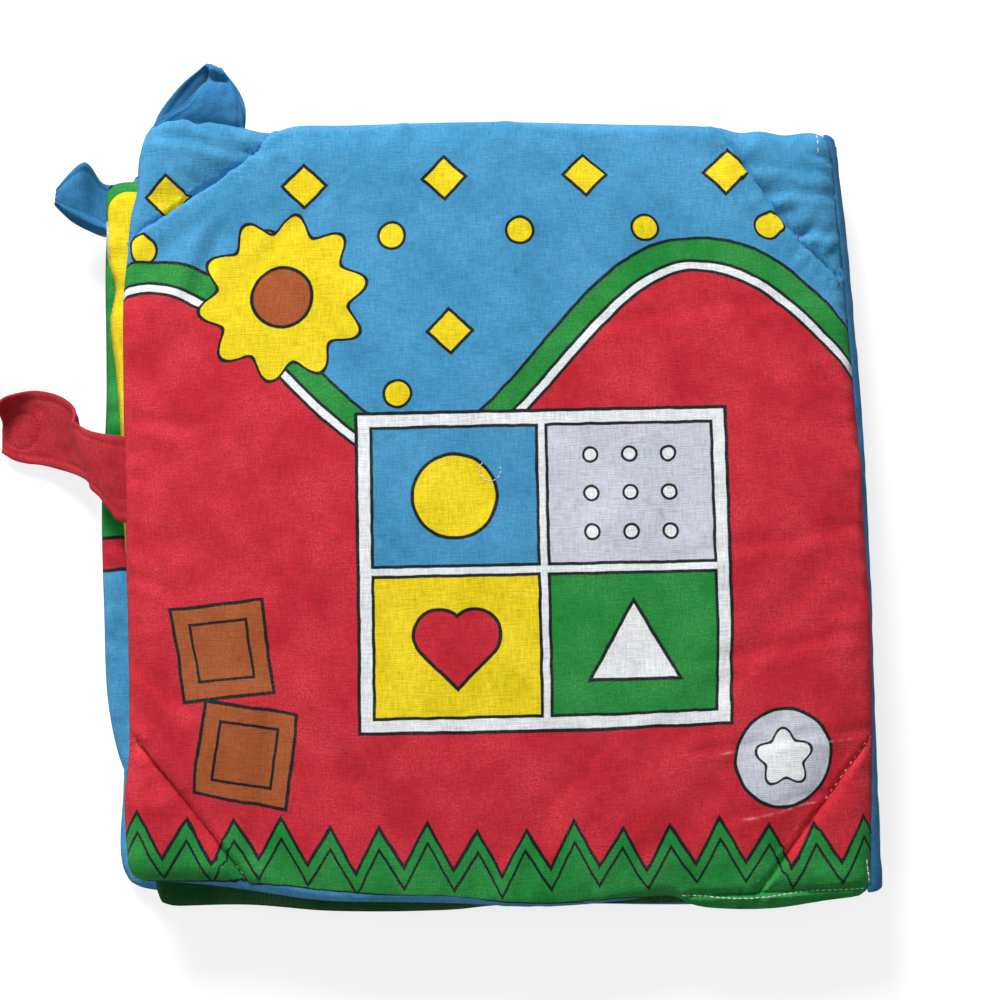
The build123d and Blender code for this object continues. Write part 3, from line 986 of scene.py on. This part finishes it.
top_loop = lay_strip("top_loop_ribbon", ribbon((
    ((-104.8, 120.5, 24.5), (-75.4, 121.4, 23.6), 0),
    ((-104.6, 127, 24.4), (-75.1, 124.6, 23.4), -0.1),
    ((-102.4, 131.6, 25), (-74.7, 128.6, 22.9), -1),
    ((-98.4, 136.4, 25.8), (-75, 133.6, 22.4), -1.6),
    ((-94, 140.9, 26.2), (-77.2, 139, 22.6), -1.4),
    ((-89.4, 144.5, 26.2), (-80.6, 143.6, 23.4), -0.5),
    ((-86.8, 145.8, 27.4), (-81.6, 145, 25.2), 0.2),
    ((-85.4, 143.9, 28.4), (-80.4, 142.6, 27), 0.2),
    ((-86, 141.6, 26.4), (-79, 140.2, 26), -1),
    ((-88.2, 139, 27.2), (-77.3, 137, 26.4), 0.9),
    ((-91.2, 135.4, 28), (-75.8, 132.6, 26.6), 1),
    ((-94.6, 132.2, 27.6), (-75.2, 129, 26.2), 0.8),
    ((-100.6, 129.6, 26.4), (-75, 126.6, 25.8), 0.5),
    ((-104.4, 127.2, 25.5), (-75, 124.8, 24.6), 0.1),
    ((-104.6, 120.5, 25.2), (-75.4, 121.4, 24), 0),
)), width=28, length=62, rows=84, columns=30, thickness=0.8, ruffle=0.35, hem=0.9)
side_loop = lay_strip("side_loop_ribbon", ribbon((
    ((-115, 112, 14.3), (-115, 93.4, 14.3), 0),
    ((-123.6, 111.4, 14.2), (-123.2, 93.2, 14.2), 0),
    ((-128.2, 116, 14.2), (-129, 95.6, 13), -0.8),
    ((-133, 114.6, 14), (-134.8, 99, 12.8), -1),
    ((-137, 112.2, 14.4), (-138.6, 102.6, 13.4), -0.4),
    ((-139, 109.4, 15.8), (-139.9, 104.6, 15), 0),
    ((-138.2, 109.8, 17.6), (-138.9, 104.6, 16.8), 0.2),
    ((-134.8, 113, 18.8), (-135.2, 101.4, 17.2), 0.9),
    ((-130.4, 116.6, 20.2), (-130.4, 98.4, 17), 0.2),
    ((-127.4, 116.6, 19.8), (-126.8, 96.6, 16.4), -1.8),
    ((-123.6, 110.8, 15.6), (-123, 95.4, 15.2), -0.1),
    ((-115, 110.8, 15), (-115, 94.4, 15), 0),
)), width=21, length=52, rows=64, columns=24, thickness=0.8, ruffle=0.3, hem=0.9)
for loop_piece, loop_node, loop_body, loop_flat, loop_area in (
    (top_loop, "top_loop", "back_board", (0.028, 0.058), 0.00112),
    (side_loop, "side_loop", "book_block", (0.021, 0.052), 0.00082),
):
    loop_piece.data.materials.append(blue_cotton)
    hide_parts(loop_node)
    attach(loop_piece, loop_body)


# The closure strap: a doubled strip of red cotton sewn into the back cover's fore-edge. It falls past
# the leaves and ends flat, with its far corner curled up.
strap_ring = (-155.6, 31.2)
strap_ring_radius = 6.0
strap_upper = [
    (-106, 24.5, 25), (-116.3, 25, 24.9), (-122.4, 26, 24.4), (-128.4, 27.8, 23.4),
    (-132.4, 30.9, 22.8), (-133, 31.8, 21.6), (-134.2, 34.8, 16.6), (-136.8, 38.4, 12),
    (-141, 41.4, 8.8), (-145.8, 43.4, 6.6), (-150.8, 44.3, 5.8), (-155.4, 43.7, 6.8),
    (-159.8, 41.6, 9.4), (-162.6, 38.4, 10.8),
]
strap_lower = [
    (-106, -2.4, 25), (-116.6, -2.9, 24.9), (-120.4, 0.8, 24.5), (-123.6, 5.2, 23.9), (-126.4, 8, 23.2),
    (-127, 8.6, 22), (-129, 10.8, 17), (-132.6, 13.3, 12.2), (-137.6, 15.5, 8.3), (-143.4, 17.5, 5.4),
    (-149.4, 19.2, 3.7), (-154.6, 20, 3.1), (-158.8, 21.4, 2.9), (-162.8, 24, 2.9),
]


def strap_place(across, down):
    """The strap bends from edge to edge, but its end lies flat and only its far edge curls up."""
    low_edge = through(strap_lower, down)
    high_edge = through(strap_upper, down)
    spot = low_edge.lerp(high_edge, across)
    curl = (max(across - 0.68, 0) / 0.32) ** 1.6
    spot.z += (high_edge.z - low_edge.z) * (curl - across) * window(down, 0.72, 2.0, 0.16)
    spot.z += 0.8 * math.sin(math.pi * across) * window(down, 0.14, 0.3, 0.1)
    ring_gap = math.dist(spot.xy, strap_ring) - strap_ring_radius
    spot.z -= 0.35 * math.exp(-((ring_gap / 0.7) ** 2))
    return spot


strap = lay_strip(
    "closure_strap_cloth",
    strap_place,
    width=25.0, length=68.0, rows=110, columns=40, thickness=1.2, ruffle=0.3, hem=0.7,
)
strap.data.materials.append(printed_cotton("red_cotton", lambda motif, place: colour(176, 36, 46)))
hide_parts("closure_strap")
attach(strap, "back_board")


# The thread: white stitches that close the lower edge and show at the seams' ends, a small stitched ring
# on the back cover, and red stitches round the strap's dot. Each stitch is laid on the finished cloth.
def sew(name, piece, rows):
    """Stitches along rows of places. A row is its places in mm, the pitch, and one's length and width. A
    stitch's profile is rings at shares of its length, each with its lift and its thickness in widths."""
    profile = ((0.0, -0.12, 0.5), (0.25, 0.10, 1.0), (0.75, 0.10, 1.0), (1.0, -0.12, 0.5))
    ray_start = 0.1
    sides = 6
    bpy.context.view_layer.update()
    form = bmesh.new()
    for places, pitch, length, width in rows:
        reach = sum(math.dist(a, b) for a, b in zip(places, places[1:]))
        for number in range(int(reach / pitch)):
            begin = (number * pitch + 0.2 * pitch * noise.noise(Vector((number * 3.7, reach, 0)))) / reach
            ring = []
            for step, lift, thick in profile:
                spot = along(places, min(max(begin + step * length / reach, 0), 1))
                met, hit, normal = piece.ray_cast((spot.x * MM, spot.y * MM, ray_start), (0, 0, -1))[:3]
                if met:
                    ring.append((hit + normal * lift * width * MM, normal, thick * width / 2 * MM))
            if len(ring) < len(profile):
                continue
            way = (ring[-1][0] - ring[0][0]).normalized()
            loops = []
            for middle, normal, radius in ring:
                across = way.cross(normal).normalized()
                loops.append([
                    form.verts.new(middle + (across * math.cos(a) + normal * math.sin(a)) * radius)
                    for a in (math.tau * k / sides for k in range(sides))
                ])
            for here, there in zip(loops, loops[1:]):
                for k in range(sides):
                    form.faces.new((here[k], here[k - 1], there[k - 1], there[k]))
            form.faces.new(loops[0])
            form.faces.new(loops[-1][::-1])
    bmesh.ops.recalc_face_normals(form, faces=form.faces[:])
    return to_piece(name, form)


def sewing_thread(name, ink, dark):
    """Matt spun thread, with a fine twist."""
    paint, shader, start = new_paint(name)
    place = start.node("TexCoord", output="Object")
    fibres = start.node("TexNoise", {"Vector": place, "Scale": 2500.0, "Detail": 2.0})
    fibres.ramp(0.3, 0.7).pick(dark, ink).feed(shader, "Base Color")
    bump = start.node("Bump", {"Height": fibres, "Strength": 0.4, "Distance": 0.0001})
    bump.feed(shader, "Normal")
    shader.inputs["Roughness"].default_value = 0.75
    return paint


def ring_places(x, y, radius, start_turn, end_turn):
    """Places on a ring, from one turn to another in degrees."""
    turns = [math.radians(start_turn + (end_turn - start_turn) * k / 16) for k in range(17)]
    return [(x + radius * math.cos(turn), y + radius * math.sin(turn)) for turn in turns]


white_stitches = sew("white_stitches", back_cover, (
    ([(112.5, -126.0), (96.0, -126.1), (78.0, -127.2), (71.0, -127.1), (54.5, -125.6)], 1.75, 1.35, 0.42),
    ([(113.2, -117.0), (113.8, -123.7), (113.7, -127.4)], 1.9, 1.75, 0.5),
    ([(111.6, 115.0), (111.2, 110.1), (111.0, 105.6)], 2.6, 1.7, 0.42),
    ([(115.3, -80.9), (107.5, -90.6), (99.8, -100.2)], 2.6, 1.0, 0.34),
    ([(-113.6, -70.5), (-110.0, -75.5)], 2.4, 0.9, 0.34),
    ([(-82.6, -111.1), (-79.2, -115.6)], 2.4, 1.0, 0.36),
    (ring_places(1.0, 8.9, 3.4, 130, 395), 1.5, 1.2, 0.34),
))
white_thread = sewing_thread("white_thread", colour(232, 232, 236), colour(170, 172, 182))
white_stitches.data.materials.append(white_thread)
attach(white_stitches, "back_board")
strap_row = (ring_places(*strap_ring, strap_ring_radius, 0, 350), 1.6, 1.2, 0.34)
red_stitches = sew("strap_stitches", strap, (strap_row,))
red_stitches.data.materials.append(sewing_thread("red_thread", colour(170, 40, 50), colour(110, 18, 28)))
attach(red_stitches, "back_board")


# The fastening: a round dot of hook tape under the strap's end and one of loop tape on the front cover.
for dot_name, dot_grain in (("strap_hook_dot", 1500.0), ("cover_loop_dot", 700.0)):
    tape, tape_shader, tape_start = new_paint(dot_name + "_tape")
    tape_place = tape_start.node("TexCoord", output="Object")
    pile = tape_start.node("TexVoronoi", {"Vector": tape_place, "Scale": dot_grain}, output="Distance")
    pile.ramp(0.7, 0.1).pick(colour(176, 176, 172), colour(232, 232, 228)).feed(tape_shader, "Base Color")
    tape_bump = tape_start.node("Bump", {"Height": pile, "Strength": 0.8, "Distance": 0.0004})
    tape_bump.feed(tape_shader, "Normal")
    tape_shader.inputs["Roughness"].default_value = 0.85
    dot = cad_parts[dot_name]
    dot.data.materials.clear()
    dot.data.materials.append(tape)
